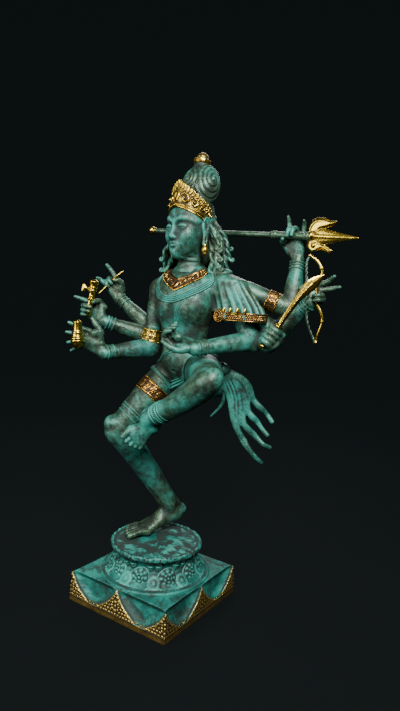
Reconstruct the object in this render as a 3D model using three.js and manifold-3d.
// A many-armed dancing figure in cast bronze, on a lotus pedestal with a square plinth.
// Millimetres, +Z up. The origin is the middle of the plinth's underside. The figure faces -Y,
// so its own left is +X. The figure, the pedestal with its plinth and the six things that
// the hands hold are separate pieces.

import * as THREE from 'three';
import { mergeVertices } from 'three/addons/utils/BufferGeometryUtils.js';
import Module from 'manifold-3d';

const wasm = await Module();
wasm.setup();

// Driving dimensions

const clearance = 0.3; // left between two pieces that touch

const plinthSide = 180; // across the plinth's foot
const plinthTopSide = 173.5;
const plinthHeight = 46;
const plinthStrip = 9.2; // plain strip along the plinth's foot
const scoopDepth = 7; // hollows in the plinth's sides
const scoopMargin = 5; // flat left between a hollow and the next corner
const leafThickness = 1.2;

const lotusRingRadius = 83; // moulding where the pedestal meets the plinth
const lotusDiscRadius = 69.2;
const lotusHeight = 46.5; // from the plinth's top to the disc's rim
const dishDepth = 2.5; // how far the disc's floor lies below its rim
const petalCount = 10;
const petalSwell = 7;

const figureHeight = 588; // from the sole to the tip of the crown's knob

const tridentLength = 358;
const tridentShaftRadius = 4;
const tridentGripRadius = 5.4;
const bowHeight = 118;
const bowThickness = 2.6;
const swordLength = 124;
const swordThickness = 5;
const swordGripRadius = 3.6;
const arrowLength = 58;
const arrowShaftRadius = 2;
const axeLength = 56;
const axeShaftRadius = 4.6;
const bellHeight = 42;
const bellRadius = 10.5;

// The figure's pose and carving below are written for this height and follow figureHeight

const posedHeight = 588;
const share = figureHeight / posedHeight;
const lotusTop = plinthHeight + lotusHeight;
const soleLevel = lotusTop - dishDepth + clearance;

// Finishes

const verdigris = new THREE.MeshStandardMaterial({ color: 0x4f8f7c, roughness: 0.7, metalness: 0.55 });
const turquoise = new THREE.MeshStandardMaterial({ color: 0x3fa08c, roughness: 0.75, metalness: 0.45 });
const brass = new THREE.MeshStandardMaterial({ color: 0xb8923a, roughness: 0.3, metalness: 0.95 });

// Points and directions

const V = (x, y, z) => new THREE.Vector3(x, y, z);
const at = (x, y, z) => V(x * share, y * share, soleLevel + z * share);
const lerp = (a, b, t) => a.clone().lerp(b, t);
const toward = (a, b) => b.clone().sub(a).normalize();
const scaled = (v, s) => v.clone().multiplyScalar(s);
const sum = (...vectors) => vectors.reduce((total, v) => total.add(v), V(0, 0, 0));
const turned = (v, axis, degrees) => v.clone().applyAxisAngle(axis, THREE.MathUtils.degToRad(degrees));
const zAxis = V(0, 0, 1);

// The part of v that is square to axis, one long
const squareTo = (v, axis) => v.clone().addScaledVector(axis, -v.dot(axis)).normalize();

// Solids: closed geometries that are joined and cut

function signedVolume(positions, indices) {
  let volume = 0;
  for (let i = 0; i < indices.length; i += 3) {
    const [a, b, c] = [0, 1, 2].map((k) => V().fromArray(positions, 3 * indices[i + k]));
    volume += a.dot(b.cross(c)) / 6;
  }
  return volume;
}

// A closed solid through rings of equally many points, with a tip at each end
function skin(rings, startTip, endTip) {
  const count = rings[0].length;
  const points = [...rings.flat(), startTip, endTip];
  const start = points.length - 2;
  const end = points.length - 1;
  const indices = [];
  for (let j = 0; j < count; j += 1) {
    const k = (j + 1) % count;
    for (let i = 0; i < rings.length - 1; i += 1) {
      const [a, b] = [i * count, (i + 1) * count];
      indices.push(a + j, a + k, b + k, a + j, b + k, b + j);
    }
    const last = (rings.length - 1) * count;
    indices.push(start, k, j, end, last + j, last + k);
  }
  const positions = points.flatMap((p) => p.toArray());
  if (signedVolume(positions, indices) < 0) indices.reverse();
  const geometry = new THREE.BufferGeometry();
  geometry.setAttribute('position', new THREE.Float32BufferAttribute(positions, 3));
  geometry.setIndex(indices);
  return geometry;
}

function solid(geometry) {
  const bare = geometry.clone();
  for (const name of Object.keys(bare.attributes)) {
    if (name !== 'position') bare.deleteAttribute(name);
  }
  const merged = mergeVertices(bare, 1e-4);
  return new wasm.Manifold(new wasm.Mesh({
    numProp: 3,
    vertProperties: Float32Array.from(merged.attributes.position.array),
    triVerts: Uint32Array.from(merged.index.array),
  }));
}

const joined = (geometries) => geometries.map(solid).reduce((total, next) => total.add(next));

function geometryOf(manifold) {
  const mesh = manifold.getMesh();
  const geometry = new THREE.BufferGeometry();
  geometry.setAttribute('position', new THREE.Float32BufferAttribute(mesh.vertProperties, 3));
  geometry.setIndex([...mesh.triVerts]);
  return geometry;
}

// An ellipse of points round a centre; u and v are its two square half axes
function ellipse(centre, u, v, sides) {
  return Array.from({ length: sides }, (_, j) => {
    const angle = (2 * Math.PI * j) / sides;
    return sum(centre, scaled(u, Math.cos(angle)), scaled(v, Math.sin(angle)));
  });
}

// The helpers below take sizes in the figure's own unit, or in millimetres with unit 1.

// A straight member from one point to another. Each row of the profile is
// [share of the way, half width, half thickness], and bow pushes its middle aside.
function bone(from, to, profile, options = {}) {
  const { sides = 8, across = V(1, 0, 0), bow = V(0, 0, 0), tip = 0.5, unit = share } = options;
  const along = toward(from, to);
  const u = squareTo(across, along);
  const v = along.clone().cross(u);
  const rings = profile.map(([t, a, b = a]) => {
    const centre = sum(lerp(from, to, t), scaled(bow, 4 * t * (1 - t)));
    return ellipse(centre, scaled(u, a * unit), scaled(v, b * unit), sides);
  });
  const [first, last] = [profile[0], profile.at(-1)];
  const startTip = sum(lerp(from, to, first[0]), scaled(along, -first[1] * tip * unit));
  const endTip = sum(lerp(from, to, last[0]), scaled(along, last[1] * tip * unit));
  return skin(rings, startTip, endTip);
}

// A curved member through points, with a radius or [half width, half thickness] at each
function strand(points, radii, options = {}) {
  const { sides = 6, steps = points.length - 1, across = zAxis, tip = 0.6, unit = share } = options;
  const curve = new THREE.CatmullRomCurve3(points);
  const size = (t, k) => {
    const place = t * (radii.length - 1);
    const i = Math.min(Math.floor(place), radii.length - 2);
    const [a, b] = [radii[i], radii[i + 1]].map((r) => (Array.isArray(r) ? r[k] : r));
    return THREE.MathUtils.lerp(a, b, place - i) * unit;
  };
  let u = squareTo(across, curve.getTangent(0));
  const rings = Array.from({ length: steps + 1 }, (_, i) => {
    const t = i / steps;
    const tangent = curve.getTangent(t);
    u = squareTo(u, tangent);
    const v = tangent.clone().cross(u);
    return ellipse(curve.getPoint(t), scaled(u, size(t, 0)), scaled(v, size(t, 1)), sides);
  });
  const startTip = sum(points[0], scaled(curve.getTangent(0), -size(0, 0) * tip));
  const endTip = sum(points.at(-1), scaled(curve.getTangent(1), size(1, 0) * tip));
  return skin(rings, startTip, endTip);
}

// Level sections, bottom to top: [centre, half width, front depth, back depth], turned about Z
function stack(sections, { sides = 12, turn = 0, cap = 0.3 } = {}) {
  const right = turned(V(1, 0, 0), zAxis, turn);
  const front = turned(V(0, -1, 0), zAxis, turn);
  const rings = sections.map(([centre, width, fore, back]) => Array.from({ length: sides }, (_, j) => {
    const angle = (2 * Math.PI * j) / sides;
    const depth = Math.sin(angle) > 0 ? fore : back;
    const aside = scaled(right, Math.cos(angle) * width * share);
    return sum(centre, aside, scaled(front, Math.sin(angle) * depth * share));
  }));
  const [first, last] = [sections[0], sections.at(-1)];
  const startTip = sum(first[0], V(0, 0, -first[1] * cap * share));
  const endTip = sum(last[0], V(0, 0, last[1] * cap * share));
  return skin(rings, startTip, endTip);
}

// An egg: a low sphere stretched along three square directions, its poles on the second
function egg(centre, u, v, w, { columns = 6, rows = 4, unit = share } = {}) {
  const geometry = new THREE.SphereGeometry(1, columns, rows);
  const basis = new THREE.Matrix4().makeBasis(scaled(u, unit), scaled(v, unit), scaled(w, unit));
  const flip = new THREE.Matrix4().makeScale(1, 1, Math.sign(basis.determinant()));
  return geometry.applyMatrix4(basis.multiply(flip).setPosition(centre));
}

// A round turned piece along a direction: rows of [distance, radius]
function rod(origin, direction, rows, { sides = 8, across = V(0, 1, 0), grow = 0 } = {}) {
  const u = squareTo(across, direction);
  const v = direction.clone().cross(u);
  const place = (distance) => sum(origin, scaled(direction, distance));
  const rings = rows.map(([distance, radius]) => (
    ellipse(place(distance), scaled(u, radius + grow), scaled(v, radius + grow), sides)
  ));
  return skin(rings, place(rows[0][0] - grow), place(rows.at(-1)[0] + grow));
}

// A flat piece cut to an outline of [along, up] points and as thick as stated
function plate(outline, origin, along, up, thickness) {
  const shape = new THREE.Shape(outline.map(([x, y]) => new THREE.Vector2(x, y)));
  const geometry = new THREE.ExtrudeGeometry(shape, { depth: thickness, bevelEnabled: false });
  const across = along.clone().cross(up);
  const corner = sum(origin, scaled(across, -thickness / 2));
  return geometry.applyMatrix4(new THREE.Matrix4().makeBasis(along, up, across).setPosition(corner));
}

// A curved band: each rib is [lower inner, lower outer, upper outer, upper inner]
function band(ribs) {
  const middle = (rib) => scaled(sum(...rib), 1 / rib.length);
  return skin(ribs, middle(ribs[0]), middle(ribs.at(-1)));
}

// The plinth: each side has two hollows with a straight top edge, and between them and at the
// corners a leaf with flaring foot

function plinthBlock() {
  const square = (half, z) => [V(half, -half, z), V(half, half, z), V(-half, half, z), V(-half, -half, z)];
  const [foot, top] = [plinthSide / 2, plinthTopSide / 2];
  const lip = 1.2;
  const block = solid(skin(
    [square(foot, 0), square(foot, plinthStrip), square(foot - lip, plinthStrip), square(top, plinthHeight)],
    V(0, 0, 0),
    V(0, 0, plinthHeight),
  ));
  const halfWidth = plinthSide / 4 - scoopMargin;
  const rim = 2;
  const scoopRows = [[0, 1, 1], [0.5, 0.9, 0.9], [0.82, 0.56, 0.6], [0.98, 0.16, 0.25]];
  const scoop = (offset) => bone(
    V(offset, -top - 1, plinthHeight - rim),
    V(offset, -top - 1, plinthStrip + rim),
    scoopRows.map(([t, width, depth]) => [t, halfWidth * width, scoopDepth * depth]),
    { sides: 8, tip: 0, unit: 1 },
  );
  const spread = plinthSide / 4 - 4 * scoopMargin;
  const peak = plinthHeight - plinthStrip - 7;
  const leaf = (offset, way) => plate(
    way === 0 ? [[-spread, 0], [spread, 0], [0, peak]] : [[0, 0], [way * spread, 0], [0, peak]],
    V(offset, 0, 0),
    V(1, 0, 0),
    zAxis,
    2 * leafThickness,
  );
  const slope = Math.atan2(foot - lip - top, plinthHeight - plinthStrip);
  const set = (geometry, side) => geometry
    .rotateX(-slope)
    .translate(0, -(foot - lip), plinthStrip)
    .rotateZ((side * Math.PI) / 2);
  const edge = foot - lip - 1.5;
  return [0, 1, 2, 3].reduce((body, side) => {
    const cutters = [-1, 1].map((way) => scoop((way * plinthSide) / 4).rotateZ((side * Math.PI) / 2));
    const carved = cutters.reduce((rest, cutter) => rest.subtract(solid(cutter)), body);
    const leaves = [leaf(0, 0), leaf(-edge, 1), leaf(edge, -1)].map((geometry) => solid(set(geometry, side)));
    return leaves.reduce((rest, next) => rest.add(next), carved);
  }, block);
}

// The lotus: rings of three points to a petal, which swell outwards where the petals are
function lotus() {
  const base = plinthHeight;
  const rim = lotusTop;
  const [ring, disc] = [lotusRingRadius, lotusDiscRadius];
  const neck = disc - 9;
  // [radius, height, how far the large petals swell, how far the small ones swell]
  const rows = [
    [ring, base - 3, 0, 0],
    [ring, base + 2.5, 0, 0],
    [neck + 6, base + 6, 1, 0],
    [neck + 1, base + 16, 1, 0],
    [neck - 2, base + 25, 0.4, 0],
    [neck, base + 30, 0, 0.5],
    [neck + 3, base + 35, 0, 0.8],
    [disc - 1, rim - 8.5, 0, 0],
    [disc, rim - 1.5, 0, 0],
    [disc - 2.5, rim, 0, 0],
    [disc - 5.5, rim - dishDepth, 0, 0],
  ];
  const sides = 3 * petalCount;
  const rings = rows.map(([radius, z, large, small]) => Array.from({ length: sides }, (_, j) => {
    const angle = (2 * Math.PI * j) / sides;
    const phase = j % 3 === 0 ? 1 : 0.35;
    const opposite = j % 3 === 0 ? 0 : 0.8;
    const swell = petalSwell * (large * phase + small * opposite);
    return V((radius + swell) * Math.cos(angle), (radius + swell) * Math.sin(angle), z);
  }));
  return solid(skin(rings, V(0, 0, base - 3), V(0, 0, rim - dishDepth)));
}

// The figure's trunk: level sections of [x, y, z, half width, front depth, back depth]

const trunkSections = [
  [15, 38, 240, 38, 24, 28],
  [14.5, 38, 258, 47, 30, 34],
  [13, 36, 276, 44, 31, 32],
  [10, 32, 300, 35, 29, 23.5],
  [10, 30, 325, 38, 31, 25],
  [12, 29, 364, 50, 37, 30],
  [12.5, 29, 386, 52, 33, 28],
  [13, 30, 401, 47, 26, 25],
  [13, 31, 412, 30, 19, 20],
  [13, 31, 422, 18, 16.5, 17.5],
  [12, 27, 460, 15, 15, 15],
];

// A point on the trunk at a height and an angle from its front, towards its left, lifted clear
function onTrunk(z, degrees, lift = 0) {
  const i = trunkSections.findIndex((row, k) => k > 0 && row[2] >= z);
  const [low, high] = [trunkSections[i - 1], trunkSections[i]];
  const t = (z - low[2]) / (high[2] - low[2]);
  const [x, y, , width, fore, back] = low.map((value, k) => THREE.MathUtils.lerp(value, high[k], t));
  const angle = THREE.MathUtils.degToRad(degrees);
  const depth = Math.cos(angle) > 0 ? fore : back;
  return at(x + (width + lift) * Math.sin(angle), y - (depth + lift) * Math.cos(angle), z);
}

function trunk() {
  const body = stack(trunkSections.map(([x, y, z, ...sizes]) => [at(x, y, z), ...sizes]));
  const breast = (side) => egg(
    onTrunk(371, side * 36, -9), V(18, 0, 0), V(0, 0, 13), V(side * -5, -13, 0), { columns: 8 },
  );
  const seat = egg(at(47, 57, 246), V(27, 0, 0), V(0, 0, 25), V(0, 24, 0), { columns: 8 });
  return [body, breast(-1), breast(1), seat];
}

// Head: places are [towards its left, forward, up] from its middle

const headMiddle = at(11.5, 25, 472);
const headTurn = -12;
const headLeft = turned(V(1, 0, 0), zAxis, headTurn);
const headFront = turned(V(0, -1, 0), zAxis, headTurn);
const onHead = (left, front, up) => sum(
  headMiddle, scaled(headLeft, left * share), scaled(headFront, front * share), V(0, 0, up * share),
);

function head() {
  const rows = [
    [17, -41, 12, 11, 22], [12, -33, 18, 17.5, 27], [4, -14, 27.5, 28.5, 34],
    [0, 0, 30, 32.5, 38], [0, 16, 30.5, 34, 40], [-3, 40, 24, 26, 31],
  ];
  const skull = stack(
    rows.map(([front, up, ...sizes]) => [onHead(0, front, up), ...sizes]),
    { sides: 12, turn: headTurn },
  );
  const nose = skin([
    [onHead(-3, 31, 6), onHead(0, 34.5, 6), onHead(3, 31, 6)],
    [onHead(-5.5, 29, -14), onHead(0, 40, -13), onHead(5.5, 29, -14)],
  ], onHead(0, 31, 11), onHead(0, 31, -17));
  const mouth = egg(onHead(0, 27.5, -23), scaled(headLeft, 9), V(0, 0, 4), scaled(headFront, 6));
  const sides = [-1, 1].flatMap((side) => [
    egg(onHead(side * 12.5, 26.5, 1), scaled(headLeft, 7), V(0, 0, 3.6), scaled(headFront, 5.5)),
    bone(
      onHead(side * 30, -2, 12), onHead(side * 32, 1, -24), [[0, 5, 3], [0.25, 8, 4.5], [1, 4.5, 3.5]],
      { sides: 6, across: headFront },
    ),
    bone(
      onHead(side * 33.5, 1, -27), onHead(side * 33.5, 1, -40), [[0, 3.4], [0.15, 4.8], [0.7, 4.8]],
      { sides: 6, tip: 0.6 },
    ),
  ]);
  return [skull, nose, mouth, ...sides];
}

// Crown: a tiara plate, a tall bun of two large coils, and a knob. It leans back as it rises.

const crownLean = 0.165;
const onCrown = (left, front, up) => onHead(left, front - crownLean * up, up);

function crown() {
  const [halfSide, halfFront, halfUp] = [31, 28, 37];
  const heart = [0, -5, 60];
  const bun = egg(
    onCrown(...heart), scaled(headFront, halfFront), V(0, 0, halfUp), scaled(headLeft, halfSide),
    { columns: 10, rows: 6 },
  );
  const knob = bone(
    onCrown(0, 0, 93), onCrown(0, 0, 114), [[0, 11], [0.33, 12], [0.55, 12], [0.62, 8.4], [0.9, 7.8], [1, 4]],
    { sides: 8, tip: 0.2 },
  );
  const steps = 10;
  const ribs = Array.from({ length: steps + 1 }, (_, i) => {
    const across = (2 * i) / steps - 1;
    const angle = THREE.MathUtils.degToRad(108 * across);
    const drop = Math.abs(across) ** 1.4;
    const lobe = i % 2 === 0 ? 0 : 4;
    const [low, high] = [28 - 24 * drop, 68 - 48 * Math.abs(across) ** 1.1 + lobe];
    const rim = (radius, up) => onCrown(radius * 0.93 * Math.sin(angle), radius * Math.cos(angle) + 3, up);
    return [rim(20, low), rim(37.5, low + 1), rim(35, high), rim(20, high - 4)];
  });
  // A spiral ridge on each side of the bun, wound about a pole that looks sideways and a little back
  const spirals = [-1, 1].map((side) => {
    const pole = V(side * 0.96, -0.28, 0).normalize();
    const onBun = (tilt, spin) => {
      const n = turned(zAxis, pole, side * spin);
      const way = sum(scaled(pole, Math.cos(tilt)), scaled(n, Math.sin(tilt)));
      return onCrown(heart[0] + way.x * halfSide, heart[1] + way.y * halfFront, heart[2] + way.z * halfUp);
    };
    const [turns, windings] = [1.6, 9];
    const path = Array.from({ length: windings + 1 }, (_, i) => (
      onBun(0.16 + (0.9 * i) / windings, (360 * turns * i) / windings)
    ));
    return strand(path, [3.4, 3.4], { sides: 3, across: scaled(headLeft, side) });
  });
  return [bun, knob, band(ribs), ...spirals];
}

// Hair that falls behind the ears onto the shoulders in rolling locks
function hair() {
  const lock = (spots, radii) => strand(spots.map((spot) => onHead(...spot)), radii, { sides: 5, steps: 5 });
  return [
    lock([[26, -16, 10], [36, -12, -12], [40, -8, -30], [38, -8, -46], [44, -2, -62]], [9, 8.5, 8, 7, 5]),
    lock([[20, -26, 6], [30, -28, -22], [38, -27, -46], [45, -22, -68]], [12, 12, 10, 6]),
    lock([[0, -30, 6], [0, -34, -24], [0, -30, -52], [0, -28, -80]], [16, 17, 15, 8]),
    lock([[-18, -26, 6], [-24, -28, -22], [-27, -22, -48], [-36, -18, -70]], [12, 12, 10, 6]),
    lock([[-28, -14, 8], [-38, -8, -14], [-43, -3, -38], [-44, 1, -58], [-49, 0, -73]], [9, 9, 9.5, 8, 5]),
  ];
}

// Legs

const thighProfile = [[0, 28], [0.25, 28], [0.55, 25], [0.85, 19.5], [1, 18], [1.1, 12]];
const standingThigh = [[0, 28], [0.28, 28], [0.3, 30], [0.46, 28.4], [0.48, 26], [0.85, 19.5], [1, 18], [1.1, 12]];
const shinProfile = [[-0.1, 12], [0, 17.5], [0.35, 18], [0.6, 16], [0.85, 12.5], [1, 12.5]];
const standingShin = [[-0.1, 12], [0, 17.5], [0.3, 18.5], [0.6, 18], [0.85, 16], [1.02, 14.5]];
const anklet = [[0.78, 13], [0.8, 14.8], [0.88, 14.4], [0.9, 12.6]];

// A profile with its own rows replaced along the stretch that an ornament covers
const ornate = (profile, ring) => [
  ...profile.filter(([t]) => t < ring[0][0]), ...ring, ...profile.filter(([t]) => t > ring.at(-1)[0]),
];

// inside points to the big toe's side
function foot(heel, ball, toesAt, inside) {
  const arch = bone(
    heel, ball, [[-0.12, 7, 7], [0, 11.5, 12.5], [0.45, 12, 12.5], [0.8, 16, 9], [1, 17.5, 8], [1.12, 16, 6]],
    { sides: 7, across: inside, tip: 0.2 },
  );
  const toes = [[13.2, 4.9, 0], [4.9, 3.5, 1], [-2, 3.3, -1], [-8.4, 3, -4], [-14.2, 2.8, -8]];
  const reach = toward(ball, toesAt);
  const digits = toes.map(([offset, radius, longer]) => {
    const root = sum(ball, scaled(inside, offset * share), V(0, 0, -2 * share));
    const end = sum(toesAt, scaled(inside, offset * 1.05 * share), scaled(reach, longer * share));
    const middle = lerp(root, end, 0.55).setZ(Math.max(root.z, end.z) + 0.6 * share);
    return strand([root, middle, end], [radius * 1.3, radius * 1.3, radius], { sides: 4, across: sum(inside, zAxis) });
  });
  return [arch, ...digits];
}

function standingLeg() {
  const [hip, knee, ankle] = [at(-12, 37, 255), at(-61, -33, 167), at(-11, 43, 46)];
  const [heel, ball, toes] = [at(-1, 56, 32), at(-29, 10, 8.7), at(-41, -14, 4.7)];
  return [
    bone(hip, knee, standingThigh, { sides: 8 }),
    bone(knee, ankle, standingShin, { sides: 7, bow: scaled(V(0.25, 0.4, 0.2), 4 * share) }),
    ...foot(heel, ball, toes, squareTo(V(1, -0.35, 0), toward(heel, ball))),
  ];
}

function raisedLeg() {
  const [hip, knee, ankle] = [at(41, 37, 264), at(116, -62, 266), at(18, -54, 201)];
  const [heel, ball, toes] = [at(20, -46, 192), at(-6, -66, 172), at(-25, -73, 163)];
  return [
    bone(hip, knee, thighProfile, { sides: 8 }),
    bone(knee, ankle, ornate(shinProfile, anklet), { sides: 7, bow: V(0, 0, -4 * share) }),
    ...foot(heel, ball, toes, squareTo(V(0.2, 0.9, -0.5), toward(heel, ball))),
  ];
}

// Hands. A hand's frame has three square directions: reach runs from wrist to knuckles, thumb
// points to the thumb's side and palm out of the palm. What it holds runs along thumb through
// grip, with the radius stated.

const palmLength = 30;
const palmThickness = 6;
const gripAlong = 27;
const fingerLengths = [25, 28, 26, 21];
const fingerOffsets = [10.4, 3.5, -3.4, -10];
const fingerRadius = 3.2;

function handFrame(side, wrist, reachTo, thumbTo, radius, gripAt = null) {
  const thumb = thumbTo.clone().normalize();
  const reach = squareTo(reachTo, thumb);
  const palm = side === 'left' ? reach.clone().cross(thumb) : thumb.clone().cross(reach);
  const hollow = palmThickness * share + radius + clearance;
  const grip = gripAt ?? sum(wrist, scaled(reach, gripAlong * share), scaled(palm, hollow));
  const base = sum(grip, scaled(palm, -hollow), scaled(reach, -gripAlong * share));
  return { wrist, reach, thumb, palm, hollow, radius, grip, base };
}

const hands = {
  trident: handFrame('left', at(158, 90, 432), V(0, 0, 1), V(-1, 0, 0.045), tridentGripRadius, at(152, 77, 467)),
  bow: handFrame('left', at(190, 66, 374), V(0.9, 0.25, 0.3), V(-0.06, 0, 1), bowThickness, at(200, 66, 388)),
  sword: handFrame(
    'left', at(156, 23, 314), V(0.62, -0.76, 0.1), V(0.5, 0.32, 0.86), swordGripRadius, at(168, 0, 327),
  ),
  ball: handFrame('left', at(76, -33, 304), V(-41, -14, 12), V(0.15, -1, 0), 6 * share),
  arrow: handFrame(
    'right', at(-126, 30, 364), V(-0.62, -0.3, 0.72), V(0.68, 0.2, 0.66), arrowShaftRadius, at(-136, 18, 387),
  ),
  axe: handFrame(
    'right', at(-109, -19, 327), V(-0.8, -0.5, 0.3), V(0.125, 0.083, 1), axeShaftRadius, at(-127, -36, 345),
  ),
  bell: handFrame(
    'right', at(-77, -51, 283), V(-0.85, -0.52, 0.1), V(-0.05, 0, 1), bellRadius - 2, at(-91.5, -77.5, 304),
  ),
};

// Bends of a free finger at its three joints; a finger with none closes round what is held
const closing = null;
const straight = [-4, 14, 16];
const fist = [closing, closing, closing, closing];
const graceful = [straight, closing, closing, [-2, 22, 26]];
const pointing = [straight, closing, closing, closing];
const lifting = [[16, 22, 14], straight, closing, closing];
const cupped = [[14, 34, 28], [20, 36, 28], [24, 38, 28], [26, 38, 28]];
const open = [[-6, 8, 10], [2, 6, 8], [2, 6, 8], [0, 10, 12]];

// Paths of a free thumb: places along the hand, towards the thumb's side and out of the palm
const thumbOut = [[18, 16, 4], [29, 21, 6], [38, 23, 5]];
const thumbUp = [[8, 10, 3], [14, 20, 4], [19, 28, 4]];

function hand(frame, fingers, { thumbPath = null, splay = 0.012 } = {}) {
  const { wrist, reach, thumb, palm, hollow, radius, base } = frame;
  const place = (along, aside, out) => sum(
    base, scaled(reach, along * share), scaled(thumb, aside * share), scaled(palm, out * share),
  );
  const fingerShape = { sides: 4, across: sum(palm, thumb) };
  // Round what is held, at an angle from reach towards palm
  const around = (degrees, aside, thickness, step = 40) => {
    const angle = THREE.MathUtils.degToRad(degrees);
    const far = (radius + clearance + thickness * share) / Math.cos(THREE.MathUtils.degToRad(step / 2));
    return sum(
      place(gripAlong, aside, 0),
      scaled(reach, far * Math.cos(angle)),
      scaled(palm, hollow + far * Math.sin(angle)),
    );
  };
  const knuckles = place(palmLength, 0, 0);
  const along = toward(wrist, knuckles);
  const palmRings = [[-0.1, 8, 7], [0.5, 12.8, 6.8], [1, 13.2, 5.4]].map(([t, a, b]) => {
    const aside = lerp(squareTo(thumb, along), thumb, Math.max(t, 0)).normalize();
    return ellipse(lerp(wrist, knuckles, t), scaled(aside, a * share), scaled(palm, b * share), 6);
  });
  const palmSolid = skin(palmRings, lerp(wrist, knuckles, -0.2), lerp(wrist, knuckles, 1.05));
  const digits = fingers.map((bends, i) => {
    const [offset, length] = [fingerOffsets[i], fingerLengths[i]];
    const path = [place(palmLength - 5, offset * 0.95, 0)];
    if (bends === closing) {
      const far = radius / share + fingerRadius;
      const step = Math.min(75, THREE.MathUtils.radToDeg((0.34 * length) / far));
      [0, 1, 2].forEach((k) => path.push(around(-30 + k * step, offset, fingerRadius, step)));
    } else {
      let bend = 0;
      let tip = place(palmLength, offset, 0);
      [0.44, 0.3, 0.26].forEach((part, k) => {
        bend += bends[k];
        const angle = THREE.MathUtils.degToRad(bend);
        const way = sum(
          scaled(reach, Math.cos(angle)), scaled(palm, Math.sin(angle)), scaled(thumb, splay * offset),
        );
        tip = sum(tip, scaled(way, length * part * share));
        path.push(tip);
      });
    }
    const steps = bends === closing ? 3 : 2;
    return strand(path, [4.4, 4.3, 4, 3.2], { ...fingerShape, steps });
  });
  const thumbSpots = thumbPath
    ? thumbPath.map((spot) => place(...spot))
    : [place(13, 13, 4), around(176, 14, 3.2), around(128, 11, 3.2)];
  const thumbRoot = sum(lerp(wrist, knuckles, 0.2), scaled(thumb, 5 * share));
  const thumbSolid = strand([thumbRoot, ...thumbSpots], [5.6, 4.8, 4.2, 3.2], fingerShape);
  return [palmSolid, ...digits, thumbSolid];
}

// Arms

const upperArmProfile = [[0, 14], [0.3, 15], [1, 13.4], [1.1, 8]];
const hiddenArmProfile = [[0.45, 15.5], [1, 14], [1.1, 8]];
const foreArmProfile = [[-0.08, 8], [0.02, 13.2], [0.3, 13.2], [0.8, 10.2], [1.02, 8.8]];
const armlet = [[0.58, 13.8], [0.6, 16], [0.78, 15.2], [0.8, 13.2]];
const bracelet = [[0.81, 10.2], [0.83, 12], [0.94, 11.4]];

const arm = (shoulder, elbow, wrist, upper) => [
  bone(shoulder, elbow, upper, { sides: 6 }),
  bone(elbow, wrist, ornate(foreArmProfile, bracelet), { sides: 6 }),
];

function arms() {
  const right = at(-42.5, 31.5, 380);
  const left = at(80, 33, 395);
  const ballPlace = sum(hands.ball.grip, scaled(hands.ball.palm, -3 * share));
  return [
    ...arm(left, at(163, 67, 363), hands.trident.wrist, ornate(upperArmProfile, armlet)),
    ...arm(left, at(139, 68, 325), hands.bow.wrist, hiddenArmProfile),
    ...arm(left, at(117, 68, 318), hands.sword.wrist, hiddenArmProfile),
    ...arm(left, at(117, 42, 315), hands.ball.wrist, hiddenArmProfile),
    ...arm(right, at(-48, 20, 291), hands.bell.wrist, ornate(upperArmProfile, armlet)),
    ...arm(right, at(-59, 39, 304), hands.axe.wrist, upperArmProfile),
    ...arm(right, at(-68, 52, 313), hands.arrow.wrist, upperArmProfile),
    egg(right, V(16, 0, 0), V(0, 0, 18), V(0, 16, 0), { columns: 7 }),
    ...hand(hands.trident, graceful),
    ...hand(hands.bow, lifting, { splay: 0.045 }),
    ...hand(hands.sword, fist),
    ...hand(hands.ball, cupped, { thumbPath: thumbOut }),
    ...hand(hands.arrow, graceful),
    ...hand(hands.axe, pointing),
    ...hand(hands.bell, open, { thumbPath: thumbUp, splay: 0.045 }),
    egg(ballPlace, V(6, 0, 0), V(0, 6, 0), V(0, 0, 6)),
  ];
}

// Dress

// A pleated cape over the left shoulder, with a hem band and a rosette
function cape() {
  const rows = [[72, 33, 408, 17, 13], [79, 34, 400, 27, 20], [88, 36, 380, 33, 25], [99, 38, 352, 38, 28]];
  const pleats = 9;
  const ring = ([x, y, z, a, b], fold) => Array.from({ length: 2 * pleats }, (_, j) => {
    const angle = (Math.PI * j) / pleats;
    const swell = j % 2 === 0 ? 1 : 1 - fold;
    return at(x + a * swell * Math.cos(angle), y + b * swell * Math.sin(angle), z);
  });
  const cloth = skin(rows.map((row, i) => ring(row, 0.02 + 0.022 * i)), at(70, 33, 412), at(99, 38, 350));
  const hem = bone(
    at(100, 38, 354), at(101, 38, 343), [[0, 38, 28], [0.05, 39.5, 29.5], [0.95, 39.5, 29.5], [1, 36, 26]],
    { sides: 12, tip: 0 },
  );
  const rosette = bone(
    at(78, 12, 349), at(76, 7, 349), [[0, 9], [1, 7.5]], { sides: 7, across: zAxis, tip: 0.4 },
  );
  return [cloth, hem, rosette];
}

function collar() {
  const steps = 10;
  return band(Array.from({ length: steps + 1 }, (_, i) => {
    const across = (2 * i) / steps - 1;
    const angle = 125 * across;
    const outer = 413 - 21 * (1 - Math.abs(across)) ** 0.8;
    return [onTrunk(outer, angle, -9), onTrunk(outer, angle, 4), onTrunk(421, angle, 4), onTrunk(423, angle, -9)];
  }));
}

function sash() {
  const knot = egg(at(71, 42, 270), V(11, 4, 0), V(-4, 11, 0), V(0, 0, 9), { columns: 7, rows: 5 });
  const tail = (middle, end, width) => strand(
    [at(71, 44, 268), at(...middle), at(...end)],
    [[4, 4], [width, 4], [width * 0.9, 3.4], [2.4, 2]],
    { sides: 5, steps: 3, across: V(0.8, 0.5, 0.3) },
  );
  return [
    knot,
    tail([106, 71, 232], [134, 94, 196], 8),
    tail([102, 69, 222], [129, 91, 174], 9),
    tail([99, 67, 208], [134, 94, 152], 9),
    tail([90, 63, 200], [124, 88, 126], 9),
    strand([at(72, 54, 240), at(62, 62, 212), at(46, 61, 192)], [[6, 3], [6, 3], [2, 2]], { sides: 5, steps: 3 }),
  ];
}

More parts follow.
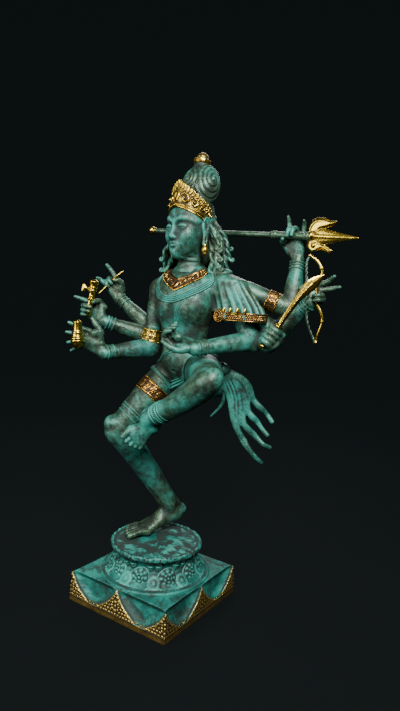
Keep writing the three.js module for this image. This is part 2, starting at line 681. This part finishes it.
function figureSolid() {
  return joined([
    ...trunk(), ...head(), ...crown(), ...hair(), collar(), ...cape(),
    ...standingLeg(), ...raisedLeg(), ...arms(), ...sash(),
  ]);
}

// Things held in the hands. Each is made a second time, larger by the clearance, to keep the
// hand clear of it.

function trident(grow = 0) {
  const { grip, thumb } = hands.trident;
  const along = scaled(thumb, -1);
  const up = squareTo(zAxis, along);
  const gripAt = 0.725 * tridentLength;
  const butt = sum(grip, scaled(along, -gripAt));
  const socket = 0.815 * tridentLength;
  const [shaft, thick] = [tridentShaftRadius, tridentGripRadius];
  const pole = rod(butt, along, [
    [0, 2.5], [3, 6], [9, 6.4], [13, shaft], [gripAt - 32, shaft], [gripAt - 30, thick + 1],
    [gripAt - 25, thick + 1], [gripAt - 24, thick], [socket - 12, thick], [socket - 11, thick + 1.6],
    [socket - 5, thick + 1.6], [socket + 3, thick - 1],
  ], { sides: 7, grow });
  if (grow > 0) return [pole];
  const blade = bone(
    sum(butt, scaled(along, socket)), sum(butt, scaled(along, tridentLength)),
    [[0, 5, 4.5], [0.1, 12.5, 4], [0.55, 6.2, 2.8], [1, 0.9, 0.9]], { sides: 4, across: up, unit: 1 },
  );
  const prong = (outline) => plate(outline, sum(butt, scaled(along, socket)), along, up, 6);
  const upper = prong([
    [-8, 3], [-8, 12], [-3, 22], [6, 27], [15, 25], [23, 20.5], [33, 21.5], [20, 14.5], [11, 13.5], [5, 4],
  ]);
  const lower = prong([
    [3, -3], [7, -9], [20, -12.5], [28, -21], [20, -17.5], [13, -16], [7, -19], [-1, -20.5], [-8, -15],
    [-8, -3],
  ]);
  return [pole, blade, upper, lower];
}

function bow(grow = 0) {
  const { grip, thumb, reach, palm } = hands.bow;
  const size = bowHeight / 115;
  const path = (spots) => spots.map(([x, z, out = 0]) => (
    sum(grip, scaled(reach, x * size), scaled(thumb, z * size), scaled(palm, out))
  ));
  const thick = bowThickness + grow;
  const limb = strand(
    path([[-10, 49], [-1, 43], [6, 32], [6, 22], [0, 13], [0, 0], [0, -13], [6, -26], [8, -38], [3, -54], [0, -66]]),
    [thick * 0.8, thick, thick * 1.15, thick, thick, thick * 0.7],
    { sides: 5, steps: 12, across: palm, unit: 1 },
  );
  const cord = strand(
    path([[-10, 49], [-14, 40, 2], [-13, 15, 5], [-13, -15, 5], [-11, -40, 3], [-1, -67]]),
    [thick * 0.8, thick * 0.8], { sides: 4, steps: 5, across: palm, unit: 1 },
  );
  return [limb, cord];
}

function sword(grow = 0) {
  const { grip, thumb, palm } = hands.sword;
  const size = swordLength / 124;
  const place = (distance, aside) => sum(grip, scaled(thumb, distance * size), scaled(palm, aside));
  const thick = swordGripRadius;
  const hilt = rod(
    place(-19, 0), thumb, [[0, 3], [1.5, 5.6], [5, 5.2], [6, thick], [33, thick], [34.5, 6], [37, 3.4]],
    { sides: 7, grow },
  );
  const half = swordThickness / 2 + grow;
  const blade = strand(
    [place(15, 0), place(36, 2), place(60, 3), place(84, 1), place(105, -4)],
    [[3.4, half], [3.6, half], [4.6, half], [8.6, half * 0.8], [1.2, 1]],
    { sides: 4, steps: 6, across: palm, unit: 1 },
  );
  return [hilt, blade];
}

function arrow(grow = 0) {
  const { grip, thumb, palm } = hands.arrow;
  const tail = sum(grip, scaled(thumb, -arrowLength * 0.45));
  const [shaft, stop] = [arrowShaftRadius, arrowLength - 14];
  const stick = rod(tail, thumb, [[0, shaft], [stop, shaft]], { sides: 6, grow });
  if (grow > 0) return [stick];
  const point = bone(
    sum(tail, scaled(thumb, stop - 3)), sum(tail, scaled(thumb, arrowLength)),
    [[0, 2.4, 2.4], [0.18, 7.6, 3], [1, 0.7, 0.7]], { sides: 4, across: palm, unit: 1 },
  );
  return [stick, point];
}

function axe(grow = 0) {
  const { grip, thumb, reach } = hands.axe;
  const heel = sum(grip, scaled(thumb, -axeLength * 0.2));
  const r = axeShaftRadius;
  const haft = rod(heel, thumb, [
    [0, r], [25, r], [26, r + 1.6], [28, r + 1.4], [29, r + 0.4], [37, r + 0.8], [38, r + 2.2], [41, r + 2.2],
    [42, r + 1.2], [50, r + 2], [53, r + 3], [56, r],
  ].map(([d, radius]) => [(d * axeLength) / 56, radius]), { sides: 7, grow });
  if (grow > 0) return [haft];
  const outline = [[4, 38], [10, 39], [13, 35.5], [17, 34], [17, 48], [13, 47], [10, 43.5], [4, 44.5]];
  return [haft, plate(outline, heel, squareTo(reach, thumb), thumb, 5)];
}

function bell(grow = 0) {
  const { grip, thumb, reach } = hands.bell;
  const down = scaled(thumb, -1);
  const middle = sum(grip, scaled(reach, 11 * share));
  const top = sum(middle, scaled(down, -bellHeight * 0.6));
  const r = bellRadius;
  return [rod(top, down, [
    [0, r * 0.42], [2, r * 0.6], [15, r * 0.66], [17, r * 0.78], [24, r * 0.86], [25, r], [31, r],
    [32, r * 0.74], [38, r * 0.66], [42, r * 0.2],
  ].map(([d, radius]) => [(d * bellHeight) / 42, radius]), { sides: 8, grow })];
}

// Assembly

const held = { trident, bow, sword, arrow, axe, bell };
const model = new THREE.Group();

function piece(name, manifold, material) {
  const mesh = new THREE.Mesh(geometryOf(manifold), material);
  mesh.name = name;
  model.add(mesh);
}

const openings = Object.values(held).map((make) => joined(make(clearance)));
const figure = openings.reduce((rest, opening) => rest.subtract(opening), figureSolid());

piece('figure', figure, verdigris);
piece('lotus_plinth', plinthBlock().add(lotus()), turquoise);
piece('trident', joined(trident()), brass);
piece('bow', joined(bow()), brass);
piece('sword', joined(sword()), brass);
piece('arrow', joined(arrow()), brass);
piece('axe', joined(axe()), brass);
piece('bell', joined(bell()), brass);

export default model;
